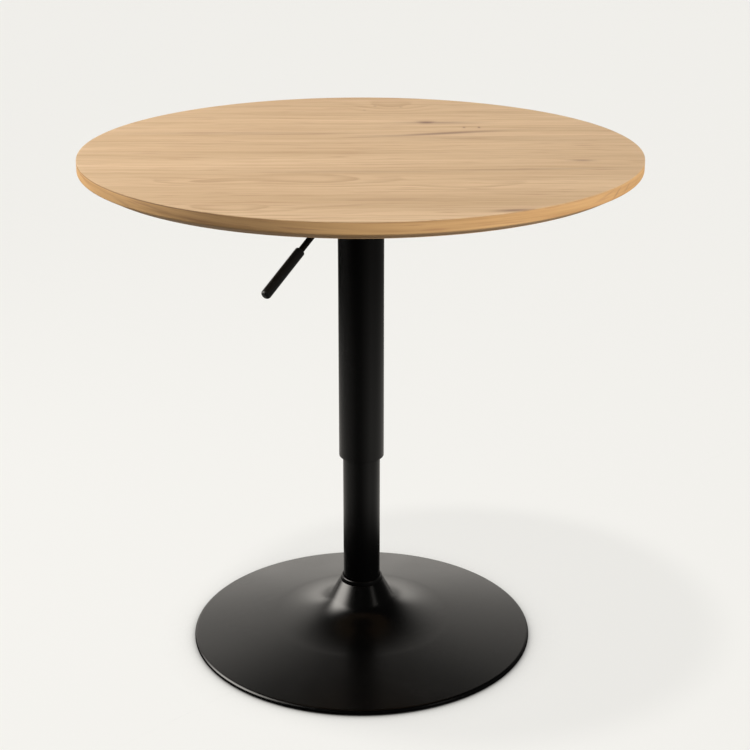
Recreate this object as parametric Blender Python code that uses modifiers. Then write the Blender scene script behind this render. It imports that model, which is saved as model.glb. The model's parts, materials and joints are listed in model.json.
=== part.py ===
"""Round pedestal table with a gas spring: oak top, telescopic column, release lever and trumpet base.

Metres, +Z up. The origin is on the floor, on the column's axis, and -Y is the front. Every piece is one object.
Empties stand for the moving bodies, and each sits on its joint's axis.
"""

from math import cos, pi, radians, sin, tan

import bmesh
import bpy
from mathutils import Matrix, Vector

# Driving dimensions
TABLE_HEIGHT = 0.670
TOP_RADIUS = 0.350
TOP_THICKNESS = 0.0225
VENEER = 0.0006
UNDERSIDE_RADIUS = 0.334  # the edge is bevelled in to here underneath
EDGE_HEIGHT = 0.014  # height of the upright part of the edge
LIPPING = 0.020  # width of the oak lipping, which lies between the two veneers
EDGE_EASE = 0.0006

BASE_RADIUS = 0.2285
RIM_HEIGHT = 0.0078
SHEET = 0.0015
NECK_TOP = 0.079
NECK_RADIUS = 0.0295
FLANK_END = (0.0415, 0.0560)  # radius and height where the straight flank below the neck starts to flare
FLARE_CORNER = (0.0540, 0.0321)  # where the lines of the flank and of the disc would meet
DISC_START = (0.125, 0.0240)
RIM_ROUND = 0.005
FLOOR_RING = (0.2060, 0.2272)  # inner and outer radius

BALLAST_RADIUS = 0.214
BALLAST_BORE = 0.018
BALLAST_FLAT = (0.112, 0.0128)  # radius and height where its upper side starts to slope
BALLAST_EDGE_TOP = 0.0058
FOOT_BORE = 0.0056
FOOT_RADIUS = 0.052
BOLT_CIRCLE = 0.038
BOLT_HOLE = 0.0043
BOLT_HEAD_HOLE = (0.0074, 0.0080)  # radius and height of the recess for a bolt's head

COLUMN_RADIUS = 0.0245
COLUMN_TOP = 0.556
COVER_RADIUS = 0.0296
COVER_BOTTOM = 0.260
TUBE_WALL = 0.0015

LIFT = 0.250
CYLINDER_RADIUS = 0.014
CYLINDER_BOTTOM = 0.065
CYLINDER_TOP = 0.608
ROD_RADIUS = 0.005

PLATE_SIDE = 0.240
PLATE_THICKNESS = 0.003
SCREW_SPACING = 0.200

LEVER_AZIMUTH = radians(-126.5)
LEVER_HEIGHT = 0.618
LEVER_PIVOT = 0.0235
LEVER_BEND = 0.037
LEVER_SLOPE = radians(30.05)
LEVER_RADIUS = 0.004
GRIP_START = 0.1242
GRIP_LENGTH = 0.0795
GRIP_RADIUS = 0.0064

# Clearance between pieces that touch or nearly touch
GAP = 0.0003

# Faces round a turned piece
STEPS_DISC = 56
STEPS_TUBE = 32
STEPS_SMALL = 20
STEPS_SCREW = 12

# Heights that follow from the dimensions above
TOP_UNDERSIDE = TABLE_HEIGHT - TOP_THICKNESS
PLATE_BOTTOM = TOP_UNDERSIDE - GAP - PLATE_THICKNESS
FLOOR_RING_TOP = 0.0022
BASE_UNDERSIDE = FLOOR_RING_TOP + GAP
FOOT_BOTTOM = 0.0131
FOOT_TOP = 0.0171
SHOULDER_BOTTOM = 0.0251
SHOULDER_TOP = 0.0271
GLAND_BOTTOM = CYLINDER_BOTTOM + 0.0015
GLAND_TOP = GLAND_BOTTOM + 0.0145
PISTON_BOTTOM = GLAND_TOP + LIFT + 0.002
PISTON_TOP = PISTON_BOTTOM + 0.014

# Colour, roughness, metallic
OAK = ((0.72, 0.50, 0.29), 0.45, 0.0)
BOARD = ((0.55, 0.42, 0.27), 0.80, 0.0)
BLACK_COAT = ((0.012, 0.012, 0.011), 0.42, 0.0)
BLACK_PLASTIC = ((0.015, 0.015, 0.015), 0.45, 0.0)
BLACK_RUBBER = ((0.020, 0.020, 0.020), 0.80, 0.0)
WHITE_PLASTIC = ((0.80, 0.80, 0.76), 0.50, 0.0)
BRASS = ((0.70, 0.52, 0.22), 0.35, 1.0)
ZINC = ((0.55, 0.56, 0.58), 0.35, 1.0)
STEEL = ((0.60, 0.60, 0.60), 0.25, 1.0)
IRON = ((0.050, 0.050, 0.050), 0.70, 0.5)


def clear_scene():
    for obj in list(bpy.data.objects):
        bpy.data.objects.remove(obj, do_unlink=True)


def new_collection(name):
    collection = bpy.data.collections.new(name)
    bpy.context.scene.collection.children.link(collection)
    return collection


clear_scene()
PARTS = new_collection("round_pedestal_table")
CUTTERS = new_collection("cutters")
CUTTERS.hide_render = True


def add_body(name, location=(0, 0, 0), turn=0.0, parent=None):
    """An empty on a joint's axis. Its pieces are its children."""
    body = bpy.data.objects.new(name, None)
    body.empty_display_size = 0.03
    body.matrix_world = Matrix.Translation(location) @ Matrix.Rotation(turn, 4, "Z")
    PARTS.objects.link(body)
    bpy.context.view_layer.update()
    if parent:
        join(body, parent)
    return body


def join(obj, parent):
    """Parents an object and leaves it where it is."""
    obj.parent = parent
    obj.matrix_parent_inverse = parent.matrix_world.inverted()


def new_material(name, look):
    colour, roughness, metallic = look
    material = bpy.data.materials.new(name)
    material.use_nodes = True
    shader = material.node_tree.nodes["Principled BSDF"]
    shader.inputs["Base Color"].default_value = (*colour, 1.0)
    shader.inputs["Roughness"].default_value = roughness
    shader.inputs["Metallic"].default_value = metallic
    material.diffuse_color = (*colour, 1.0)
    return material


def add_piece(name, mesh, look, body):
    """One piece of the table, where its mesh is, joined to the body that it moves with."""
    mesh.name = name
    mesh.materials.append(new_material(name, look))
    mesh.shade_smooth()
    mesh.set_sharp_from_angle(angle=radians(35))
    piece = bpy.data.objects.new(name, mesh)
    PARTS.objects.link(piece)
    join(piece, body)
    return piece


def add_cutter(name, mesh):
    mesh.name = name
    cutter = bpy.data.objects.new(name, mesh)
    cutter.hide_render = True
    cutter.display_type = "WIRE"
    CUTTERS.objects.link(cutter)
    return cutter


def use_boolean(piece, cutter, operation="DIFFERENCE"):
    boolean = piece.modifiers.new(cutter.name, "BOOLEAN")
    boolean.object = cutter
    boolean.operation = operation
    boolean.solver = "EXACT"


def evaluated_mesh(obj):
    """The mesh that an object's modifiers or curve settings make, and the object is removed."""
    bpy.context.view_layer.update()
    graph = bpy.context.evaluated_depsgraph_get()
    mesh = bpy.data.meshes.new_from_object(obj.evaluated_get(graph))
    mesh.transform(obj.matrix_world)
    bpy.data.objects.remove(obj, do_unlink=True)
    return mesh


def turned(profile, steps, wall=0.0):
    """A mesh turned round Z from (radius, height) points that run down its outer side.

    A profile that starts and ends on the axis is a solid, and any other is a closed ring. With a wall, the
    profile is an open sheet, which is thickened inwards.
    """
    edges = [(index, index + 1) for index in range(len(profile) - 1)]
    if profile[0][0] > 0 and not wall:
        edges.append((len(profile) - 1, 0))
    outline = bpy.data.meshes.new("profile")
    outline.from_pydata([(radius, 0.0, height) for radius, height in profile], edges, [])
    obj = bpy.data.objects.new("profile", outline)
    PARTS.objects.link(obj)
    screw = obj.modifiers.new("Screw", "SCREW")
    screw.steps = steps
    screw.render_steps = steps
    screw.use_merge_vertices = True
    screw.merge_threshold = 0.00001
    if wall:
        solidify = obj.modifiers.new("Solidify", "SOLIDIFY")
        solidify.thickness = wall
        solidify.offset = -1.0
        solidify.use_even_offset = True
    return evaluated_mesh(obj)


def ring(inner, outer, bottom, top, ease=0.0):
    """The profile of a plain ring, with its outer corners cut by ease."""
    if not ease:
        return [(outer, top), (outer, bottom), (inner, bottom), (inner, top)]
    return [
        (outer - ease, top),
        (outer, top - ease),
        (outer, bottom + ease),
        (outer - ease, bottom),
        (inner, bottom),
        (inner, top),
    ]


def disc(radius, bottom, top, ease=0.0):
    """The profile of a solid round piece, with its corners cut by ease."""
    if not ease:
        return [(0.0, top), (radius, top), (radius, bottom), (0.0, bottom)]
    return [
        (0.0, top),
        (radius - ease, top),
        (radius, top - ease),
        (radius, bottom + ease),
        (radius - ease, bottom),
        (0.0, bottom),
    ]


def arc(centre, radius, start, end, count):
    """Points of a circular arc. Angles are in degrees from +X."""
    points = []
    for index in range(count + 1):
        angle = radians(start + (end - start) * index / count)
        points.append((centre[0] + radius * cos(angle), centre[1] + radius * sin(angle)))
    return points


def curve_between(first, middle, last, count):
    """Points of the smooth curve that leaves first and reaches last along lines that meet at middle."""
    points = []
    for index in range(1, count):
        share = index / count
        near, both, far = (1 - share) ** 2, 2 * share * (1 - share), share**2
        points.append(tuple(near * a + both * b + far * c for a, b, c in zip(first, middle, last)))
    return points


def box_mesh(low, high):
    """A box between two corners."""
    low, high = Vector(low), Vector(high)
    mesh = bpy.data.meshes.new("box")
    shape = bmesh.new()
    bmesh.ops.create_cube(shape, size=1.0)
    bmesh.ops.scale(shape, vec=high - low, verts=shape.verts)
    bmesh.ops.translate(shape, vec=(low + high) / 2, verts=shape.verts)
    shape.to_mesh(mesh)
    shape.free()
    return mesh


def holes_mesh(places, radius, bottom, top, steps):
    """Upright round bars at (x, y) places, for holes."""
    mesh = bpy.data.meshes.new("holes")
    shape = bmesh.new()
    for x, y in places:
        bmesh.ops.create_cone(
            shape,
            cap_ends=True,
            segments=steps,
            radius1=radius,
            radius2=radius,
            depth=top - bottom,
            matrix=Matrix.Translation((x, y, (bottom + top) / 2)),
        )
    shape.to_mesh(mesh)
    shape.free()
    return mesh


def drill(piece, places, radius, bottom, top, steps=STEPS_SCREW):
    cutter = add_cutter(f"{piece.name}_holes_{len(piece.modifiers)}", holes_mesh(places, radius, bottom, top, steps))
    use_boolean(piece, cutter)


def corner_places(spacing):
    half = spacing / 2
    return [(half, half), (-half, half), (-half, -half), (half, -half)]


def circle_places(radius, count, first=90.0):
    angles = [radians(first + 360.0 * index / count) for index in range(count)]
    return [(radius * cos(angle), radius * sin(angle)) for angle in angles]


def base_outline():
    """The outer side of the spun base: neck lip, steep flank, flare, sloping disc and rounded rim."""
    rim_centre = (BASE_RADIUS - RIM_ROUND, RIM_HEIGHT - RIM_ROUND)
    outline = [(NECK_RADIUS - 0.0006, NECK_TOP), (NECK_RADIUS + 0.0002, NECK_TOP - 0.0008), FLANK_END]
    outline += curve_between(FLANK_END, FLARE_CORNER, DISC_START, 8)
    outline.append(DISC_START)
    outline += arc(rim_centre, RIM_ROUND, 83, 8, 4)
    outline.append((BASE_RADIUS, BASE_UNDERSIDE))
    return outline


def make_base(body):
    ring_outline = ring(*FLOOR_RING, 0.0, FLOOR_RING_TOP)
    add_piece("floor_ring", turned(ring_outline, STEPS_DISC), BLACK_RUBBER, body)
    add_piece("base_shell", turned(base_outline(), STEPS_DISC, wall=SHEET), BLACK_COAT, body)

    ballast_outline = [
        (BALLAST_BORE, BALLAST_FLAT[1]),
        BALLAST_FLAT,
        (BALLAST_RADIUS, BALLAST_EDGE_TOP),
        (BALLAST_RADIUS, BASE_UNDERSIDE),
        (BALLAST_BORE, BASE_UNDERSIDE),
    ]
    ballast = add_piece("ballast_plate", turned(ballast_outline, STEPS_DISC), IRON, body)
    bolt_places = circle_places(BOLT_CIRCLE, 3)
    head_radius, head_height = BOLT_HEAD_HOLE
    drill(ballast, bolt_places, BOLT_HOLE, -0.01, 0.02)
    drill(ballast, bolt_places, head_radius, -0.01, head_height)

    foot_outline = ring(FOOT_BORE, FOOT_RADIUS, FOOT_BOTTOM, FOOT_TOP)
    foot = add_piece("column_foot", turned(foot_outline, STEPS_TUBE), ZINC, body)
    drill(foot, bolt_places, BOLT_HOLE, 0.01, 0.02)
    head_bottom = 0.0032
    bolt_outline = bolt_profile(0.0065, 0.0038, head_bottom, head_bottom + 0.0045, FOOT_TOP - GAP)
    for number, (x, y) in enumerate(bolt_places, 1):
        bolt = add_piece(f"foot_bolt_{number}", turned(bolt_outline, STEPS_SCREW), ZINC, body)
        bolt.matrix_world = Matrix.Translation((x, y, 0))
        cut_socket(bolt, (x, y), 0.0030, head_bottom, 0.0030)

    column_outline = ring(COLUMN_RADIUS - TUBE_WALL, COLUMN_RADIUS, FOOT_TOP + GAP, COLUMN_TOP, 0.0004)
    add_piece("column_tube", turned(column_outline, STEPS_TUBE), BLACK_COAT, body)
    neck_inner = COLUMN_RADIUS + GAP
    bead_top = NECK_TOP + 0.0060
    neck_outline = [
        (neck_inner, bead_top - 0.0008),
        (neck_inner + 0.0009, bead_top),
        (neck_inner + 0.0021, bead_top - 0.0007),
        (neck_inner + 0.0027, bead_top - 0.0022),
        (neck_inner + 0.0027, bead_top - 0.0150),
        (neck_inner, bead_top - 0.0150),
    ]
    add_piece("neck_ring", turned(neck_outline, STEPS_TUBE), BLACK_PLASTIC, body)

    bush_radius = COLUMN_RADIUS - TUBE_WALL - GAP
    bush_outline = [
        (COLUMN_RADIUS - 0.0004, COLUMN_TOP + 0.0020),
        (COLUMN_RADIUS - 0.0004, COLUMN_TOP + GAP),
        (bush_radius, COLUMN_TOP + GAP),
        (bush_radius, COLUMN_TOP - 0.080),
        (CYLINDER_RADIUS + GAP, COLUMN_TOP - 0.080),
        (CYLINDER_RADIUS + GAP, COLUMN_TOP + 0.0020),
    ]
    add_piece("guide_bush", turned(bush_outline, STEPS_TUBE), BLACK_PLASTIC, body)


def bolt_profile(head_radius, shank_radius, head_bottom, head_top, tip):
    """A bolt with its head down: the profile from the tip, down the shank and round the head."""
    ease = 0.0006
    return [
        (0.0, tip),
        (shank_radius - ease, tip),
        (shank_radius, tip - ease),
        (shank_radius, head_top),
        (head_radius, head_top),
        (head_radius, head_bottom + ease),
        (head_radius - ease, head_bottom),
        (0.0, head_bottom),
    ]


def cut_socket(bolt, place, radius, head_bottom, depth):
    """A hexagon socket in the underside of a bolt's head."""
    drill(bolt, [place], radius, head_bottom - 0.002, head_bottom + depth, steps=6)


def make_bearing(base, rod):
    """The thrust bearing that the rod stands on: the lower race and the balls stay, the upper race turns."""
    lower_top = FOOT_TOP + GAP + 0.0020
    upper_bottom = SHOULDER_BOTTOM - GAP - 0.0020
    middle = (lower_top + upper_bottom) / 2
    lower = ring(FOOT_BORE, 0.0125, FOOT_TOP + GAP, lower_top)
    add_piece("bearing_lower_race", turned(lower, STEPS_SMALL), STEEL, base)
    upper = ring(ROD_RADIUS + GAP, 0.0125, upper_bottom, SHOULDER_BOTTOM - GAP)
    add_piece("bearing_upper_race", turned(upper, STEPS_SMALL), STEEL, rod)

    cage_outline = ring(0.0060, 0.0120, middle - 0.0004, middle + 0.0004)
    cage = add_piece("ball_cage", turned(cage_outline, STEPS_SMALL), BRASS, base)
    balls = bpy.data.meshes.new("balls")
    shape = bmesh.new()
    for x, y in circle_places(0.0090, 8, first=7.5):
        bmesh.ops.create_uvsphere(
            shape, u_segments=6, v_segments=4, radius=0.0013, matrix=Matrix.Translation((x, y, middle))
        )
    shape.to_mesh(balls)
    shape.free()
    use_boolean(cage, add_cutter("bearing_balls", balls), "UNION")


def make_rod(body):
    """The gas spring's rod, fixed endwise at the column's foot but free to turn on the bearing."""
    groove = 0.0040
    rod_outline = [
        (0.0, PISTON_TOP + 0.0020),
        (0.0045, PISTON_TOP + 0.0020),
        (0.0045, PISTON_TOP + GAP),
        (0.0030, PISTON_TOP + GAP),
        (0.0030, PISTON_BOTTOM - GAP),
        (ROD_RADIUS, PISTON_BOTTOM - GAP),
        (ROD_RADIUS, SHOULDER_TOP),
        (0.0075, SHOULDER_TOP),
        (0.0075, SHOULDER_BOTTOM),
        (ROD_RADIUS, SHOULDER_BOTTOM),
        (ROD_RADIUS, 0.0112),
        (groove, 0.0112),
        (groove, 0.0093),
        (ROD_RADIUS, 0.0093),
        (ROD_RADIUS, 0.0076),
        (ROD_RADIUS - 0.0006, 0.0070),
        (0.0, 0.0070),
    ]
    add_piece("piston_rod", turned(rod_outline, STEPS_SMALL), STEEL, body)
    piston_outline = ring(0.0033, CYLINDER_RADIUS - 0.0019, PISTON_BOTTOM, PISTON_TOP, 0.0008)
    add_piece("piston", turned(piston_outline, STEPS_SMALL), BLACK_PLASTIC, body)
    stop_outline = ring(ROD_RADIUS + 0.0004, 0.0125, SHOULDER_TOP + GAP, CYLINDER_BOTTOM - GAP, 0.0015)
    add_piece("bump_stop", turned(stop_outline, STEPS_SMALL), BLACK_RUBBER, body)
    washer_outline = ring(ROD_RADIUS + GAP, 0.0110, 0.0115, FOOT_BOTTOM - GAP)
    add_piece("rod_washer", turned(washer_outline, STEPS_SMALL), ZINC, body)
    clip = add_piece("rod_clip", turned(ring(groove + GAP, 0.0085, 0.0096, 0.0109), STEPS_SMALL), STEEL, body)
    clip_gap = add_cutter("rod_clip_gap", box_mesh((0.0, -0.0018, 0.008), (0.012, 0.0018, 0.012)))
    use_boolean(clip, clip_gap)


def make_gas_spring(body):
    """The cylinder slides on the rod. Its head tapers into the socket, with the release button in the middle."""
    bore = 0.0043
    wall = 0.0015
    inside = CYLINDER_RADIUS - wall
    outline = [
        (0.0, CYLINDER_TOP - 0.016),
        (bore, CYLINDER_TOP - 0.016),
        (bore, CYLINDER_TOP),
        (CYLINDER_RADIUS - 0.0009, CYLINDER_TOP),
        (CYLINDER_RADIUS, CYLINDER_TOP - 0.030),
        (CYLINDER_RADIUS, CYLINDER_BOTTOM + 0.0008),
        (CYLINDER_RADIUS - 0.0006, CYLINDER_BOTTOM),
        (inside, CYLINDER_BOTTOM),
        (inside, CYLINDER_TOP - 0.025),
        (0.0, CYLINDER_TOP - 0.025),
    ]
    add_piece("gas_cylinder", turned(outline, STEPS_SMALL), BLACK_COAT, body)
    gland_outline = ring(ROD_RADIUS + GAP, inside - GAP, GLAND_BOTTOM, GLAND_TOP, 0.0006)
    add_piece("cylinder_gland", turned(gland_outline, STEPS_SMALL), WHITE_PLASTIC, body)


def make_cover(body):
    """The wide tube that hangs from the plate and hides the gas spring, and the plastic ring in its lower end."""
    inner = COVER_RADIUS - TUBE_WALL
    outline = [
        (COVER_RADIUS, PLATE_BOTTOM - GAP),
        (COVER_RADIUS, COVER_BOTTOM + 0.0010),
        (COVER_RADIUS - 0.0003, COVER_BOTTOM + 0.0003),
        (COVER_RADIUS - 0.0008, COVER_BOTTOM),
        (inner, COVER_BOTTOM),
        (inner, PLATE_BOTTOM - GAP),
    ]
    cover = add_piece("cover_tube", turned(outline, STEPS_TUBE), BLACK_COAT, body)
    glide_outline = ring(COLUMN_RADIUS + GAP, inner - GAP, COVER_BOTTOM + GAP, COVER_BOTTOM + 0.0155)
    add_piece("cover_glide_ring", turned(glide_outline, STEPS_TUBE), BLACK_PLASTIC, body)
    return cover


def make_socket(body):
    """The socket on the plate, with a taper that grips the head of the cylinder."""
    mouth = CYLINDER_TOP - 0.033
    outline = [
        (0.0200, PLATE_BOTTOM - GAP),
        (0.0200, mouth + 0.0010),
        (0.0190, mouth),
        (CYLINDER_RADIUS + 0.0005, mouth),
        (CYLINDER_RADIUS - 0.0004, CYLINDER_TOP + 0.0010),
        (CYLINDER_RADIUS - 0.0004, PLATE_BOTTOM - GAP),
    ]
    return add_piece("taper_socket", turned(outline, STEPS_SMALL), ZINC, body)


def make_plate(body):
    """The steel plate under the top, its four screws and their inserts in the board."""
    mesh = box_mesh(
        (-PLATE_SIDE / 2, -PLATE_SIDE / 2, PLATE_BOTTOM),
        (PLATE_SIDE / 2, PLATE_SIDE / 2, PLATE_BOTTOM + PLATE_THICKNESS),
    )
    shape = bmesh.new()
    shape.from_mesh(mesh)
    upright = [edge for edge in shape.edges if abs(edge.verts[0].co.z - edge.verts[1].co.z) > GAP]
    bmesh.ops.bevel(shape, geom=upright, offset=0.022, segments=5, profile=0.5, affect="EDGES")
    shape.to_mesh(mesh)
    shape.free()
    plate = add_piece("mounting_plate", mesh, BLACK_COAT, body)
    places = corner_places(SCREW_SPACING)
    drill(plate, places, 0.0034, PLATE_BOTTOM - 0.01, PLATE_BOTTOM + 0.01)

    head_top = PLATE_BOTTOM - GAP
    head_bottom = head_top - 0.0036
    tip = TOP_UNDERSIDE + 0.0105
    screw_outline = bolt_profile(0.0060, 0.0028, head_bottom, head_top, tip)
    insert_outline = ring(0.0031, 0.0045, TOP_UNDERSIDE + 0.0012, TOP_UNDERSIDE + 0.0120)
    for number, (x, y) in enumerate(places, 1):
        screw = add_piece(f"plate_screw_{number}", turned(screw_outline, STEPS_SCREW), ZINC, body)
        screw.matrix_world = Matrix.Translation((x, y, 0))
        cut_socket(screw, (x, y), 0.0023, head_bottom, 0.0022)
        insert = add_piece(f"thread_insert_{number}", turned(insert_outline, STEPS_SCREW), BRASS, body)
        insert.matrix_world = Matrix.Translation((x, y, 0))
    return places


def make_top(body, screw_places):
    """The board with its oak lipping, bevelled underneath, between two veneers."""
    below = TOP_UNDERSIDE + VENEER
    above = TABLE_HEIGHT - VENEER
    inside = TOP_RADIUS - LIPPING
    core_outline = disc(inside - GAP, below + GAP, above - GAP)
    core = add_piece("tabletop_core", turned(core_outline, STEPS_DISC), BOARD, body)
    drill(core, screw_places, 0.0048, TOP_UNDERSIDE - 0.01, TOP_UNDERSIDE + 0.0125)
    top_outline = [
        (0.0, TABLE_HEIGHT),
        (TOP_RADIUS - VENEER, TABLE_HEIGHT),
        (TOP_RADIUS, above),
        (0.0, above),
    ]
    add_piece("top_veneer", turned(top_outline, STEPS_DISC), OAK, body)
    underside_outline = disc(UNDERSIDE_RADIUS, TOP_UNDERSIDE, below)
    underside = add_piece("underside_veneer", turned(underside_outline, STEPS_DISC), OAK, body)
    drill(underside, screw_places, 0.0048, TOP_UNDERSIDE - 0.01, TOP_UNDERSIDE + 0.01)

    bevel_top = TABLE_HEIGHT - EDGE_HEIGHT
    bevel_share = (VENEER + GAP) / (TOP_THICKNESS - EDGE_HEIGHT)
    lipping_outline = [
        (TOP_RADIUS, above - GAP),
        (TOP_RADIUS, bevel_top + EDGE_EASE),
        (TOP_RADIUS - EDGE_EASE, bevel_top - EDGE_EASE / 2),
        (UNDERSIDE_RADIUS + bevel_share * (TOP_RADIUS - UNDERSIDE_RADIUS), below + GAP),
        (inside, below + GAP),
        (inside, above - GAP),
    ]
    add_piece("edge_band", turned(lipping_outline, STEPS_DISC), OAK, body)


def in_lever_frame(mesh, body):
    """Takes a mesh made about the lever's pivot, +X outwards, to its place."""
    mesh.transform(body.matrix_world)
    return mesh


def cross_bar(radius, start, end, steps):
    """A round bar along Y through the pivot."""
    mesh = turned(disc(radius, start, end), steps)
    mesh.transform(Matrix.Rotation(-pi / 2, 4, "X"))
    return mesh


def make_lever_mount(body, lever, socket, cover):
    """The fork and the pin that carry the lever, and the slots that it passes through."""
    outer = 0.0265 - LEVER_PIVOT
    inner = 0.0160 - LEVER_PIVOT
    fork_mesh = in_lever_frame(box_mesh((inner, -0.0070, -0.0100), (outer, 0.0070, 0.0075)), lever)
    fork = add_piece("lever_bracket", fork_mesh, ZINC, body)
    slot_mesh = in_lever_frame(box_mesh((inner - 0.002, -0.0045, -0.0058), (outer + 0.002, 0.0045, 0.0100)), lever)
    use_boolean(fork, add_cutter("fork_slot", slot_mesh))
    socket_room = turned(disc(0.0203, CYLINDER_BOTTOM, TOP_UNDERSIDE), STEPS_SMALL)
    use_boolean(fork, add_cutter("fork_socket_room", socket_room))
    pin_hole = in_lever_frame(cross_bar(0.0023, -0.010, 0.010, STEPS_SCREW), lever)
    pin_hole_cutter = add_cutter("lever_pin_hole", pin_hole)
    use_boolean(fork, pin_hole_cutter)

    head = 0.0026
    pin_outline = [
        (0.0, 0.0085),
        (head, 0.0085),
        (head, 0.0073),
        (0.0020, 0.0073),
        (0.0020, -0.0078),
        (0.0, -0.0078),
    ]
    pin_mesh = turned(pin_outline, STEPS_SCREW)
    pin_mesh.transform(Matrix.Rotation(-pi / 2, 4, "X"))
    add_piece("lever_pin", in_lever_frame(pin_mesh, lever), STEEL, body)

    socket_slot = in_lever_frame(box_mesh((-0.022, -0.0050, -0.0078), (0.004, 0.0050, 0.0050)), lever)
    use_boolean(socket, add_cutter("socket_slot", socket_slot))
    cover_slot = in_lever_frame(box_mesh((0.001, -0.0052, -0.0055), (0.012, 0.0052, 0.0062)), lever)
    use_boolean(cover, add_cutter("cover_slot", cover_slot))
    return pin_hole_cutter


def make_lever(lever, pin_hole_cutter):
    """The bent rod and its grip. Its inner end lies over the release button."""
    bend_radius = 0.012
    bend = LEVER_BEND - LEVER_PIVOT
    tangent = bend_radius * tan(LEVER_SLOPE / 2)
    along = Vector((cos(LEVER_SLOPE), 0.0, -sin(LEVER_SLOPE)))
    corner = Vector((bend, 0.0, 0.0))
    to_grip = (GRIP_START - LEVER_BEND) / cos(LEVER_SLOPE)
    grip_start = corner + along * to_grip
    bore_depth = 0.062

    route = [Vector((0.0005 - LEVER_PIVOT, 0.0, 0.0))]
    for index in range(7):
        angle = LEVER_SLOPE * index / 6
        x = bend - tangent + bend_radius * sin(angle)
        z = -bend_radius * (1 - cos(angle))
        route.append(Vector((x, 0.0, z)))
    route.append(grip_start + along * (bore_depth - 0.002))

    curve = bpy.data.curves.new("lever_rod", "CURVE")
    curve.dimensions = "3D"
    curve.bevel_depth = LEVER_RADIUS
    curve.bevel_resolution = 4
    curve.use_fill_caps = True
    spline = curve.splines.new("POLY")
    spline.points.add(len(route) - 1)
    for point, place in zip(spline.points, route):
        point.co = (*place, 1.0)
    rod_curve = bpy.data.objects.new("lever_rod_curve", curve)
    PARTS.objects.link(rod_curve)
    rod_curve.matrix_world = lever.matrix_world
    rod_mesh = evaluated_mesh(rod_curve)
    shape = bmesh.new()
    shape.from_mesh(rod_mesh)
    bmesh.ops.remove_doubles(shape, verts=shape.verts, dist=0.00001)
    shape.to_mesh(rod_mesh)
    shape.free()
    rod = add_piece("lever_rod", rod_mesh, BLACK_COAT, lever)
    use_boolean(rod, pin_hole_cutter)

    bore = LEVER_RADIUS + GAP
    end_round = 0.0046
    end_centre = (GRIP_RADIUS - end_round, end_round - GRIP_LENGTH)
    grip_outline = [(bore, 0.0), (GRIP_RADIUS - 0.0006, 0.0), (GRIP_RADIUS, -0.0008)]
    grip_outline += arc(end_centre, end_round, 0, -90, 4)
    grip_outline += [(0.0, -GRIP_LENGTH), (0.0, -bore_depth), (bore, -bore_depth)]
    grip_mesh = turned_cup(grip_outline, STEPS_SMALL)
    tilt = Matrix.Translation(grip_start) @ Matrix.Rotation(-(pi / 2 - LEVER_SLOPE), 4, "Y")
    grip_mesh.transform(tilt)
    add_piece("lever_grip", in_lever_frame(grip_mesh, lever), BLACK_PLASTIC, lever)


def turned_cup(profile, steps):
    """A turned piece whose bore is blind, so that its profile touches the axis twice and closes at the mouth."""
    on_axis = [index for index, (radius, _) in enumerate(profile) if radius == 0.0]
    start = on_axis[1]
    return turned(profile[start:] + profile[:start], steps)


def make_button(body):
    """The release button that the lever's inner end pushes down."""
    top = LEVER_HEIGHT - LEVER_RADIUS - GAP
    bottom = CYLINDER_TOP - 0.0120
    add_piece("valve_button", turned(disc(0.0040, bottom, top, 0.0006), STEPS_SMALL), BRASS, body)


def main():
    base = add_body("base")
    rod = add_body("rod", parent=base)
    top = add_body("top", parent=rod)
    button = add_body("button", (0, 0, LEVER_HEIGHT), parent=top)
    pivot = (LEVER_PIVOT * cos(LEVER_AZIMUTH), LEVER_PIVOT * sin(LEVER_AZIMUTH), LEVER_HEIGHT)
    lever = add_body("lever", pivot, LEVER_AZIMUTH, parent=top)

    make_base(base)
    make_bearing(base, rod)
    make_rod(rod)
    make_gas_spring(top)
    cover = make_cover(top)
    socket = make_socket(top)
    screw_places = make_plate(top)
    make_top(top, screw_places)
    pin_hole_cutter = make_lever_mount(top, lever, socket, cover)
    make_lever(lever, pin_hole_cutter)
    make_button(button)


main()
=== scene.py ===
import json
from math import atan2, cos, pi, radians, sin, tan

import bmesh
import bpy
from mathutils import Matrix, Vector


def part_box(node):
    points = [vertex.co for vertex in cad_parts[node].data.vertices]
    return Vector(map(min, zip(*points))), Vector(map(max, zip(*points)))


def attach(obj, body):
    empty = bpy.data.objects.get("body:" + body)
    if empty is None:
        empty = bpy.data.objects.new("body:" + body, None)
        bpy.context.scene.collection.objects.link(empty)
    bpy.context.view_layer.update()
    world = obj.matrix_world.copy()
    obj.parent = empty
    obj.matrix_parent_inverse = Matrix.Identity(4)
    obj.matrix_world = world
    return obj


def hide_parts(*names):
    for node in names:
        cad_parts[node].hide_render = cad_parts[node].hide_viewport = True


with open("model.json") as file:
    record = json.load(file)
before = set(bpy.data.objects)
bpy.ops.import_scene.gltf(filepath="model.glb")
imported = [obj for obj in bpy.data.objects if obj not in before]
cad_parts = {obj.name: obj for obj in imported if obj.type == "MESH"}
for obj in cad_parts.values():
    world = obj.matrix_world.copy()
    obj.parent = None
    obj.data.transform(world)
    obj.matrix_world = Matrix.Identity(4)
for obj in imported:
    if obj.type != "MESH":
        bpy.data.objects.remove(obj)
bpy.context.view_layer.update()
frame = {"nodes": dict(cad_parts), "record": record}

ROUND = 192  # faces round the large pieces
TUBE = 96  # faces round the column's pieces
SMALL = 40  # faces round the small pieces
HOLE = 24  # faces round the small holes
MERGE = 0.00001  # points closer than this are joined
SHARP_ANGLE = radians(35)  # edges sharper than this stay sharp

PIECES = bpy.data.collections.new("visual_pieces")
bpy.context.scene.collection.children.link(PIECES)


# ---------------------------------------------------------------- camera

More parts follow.
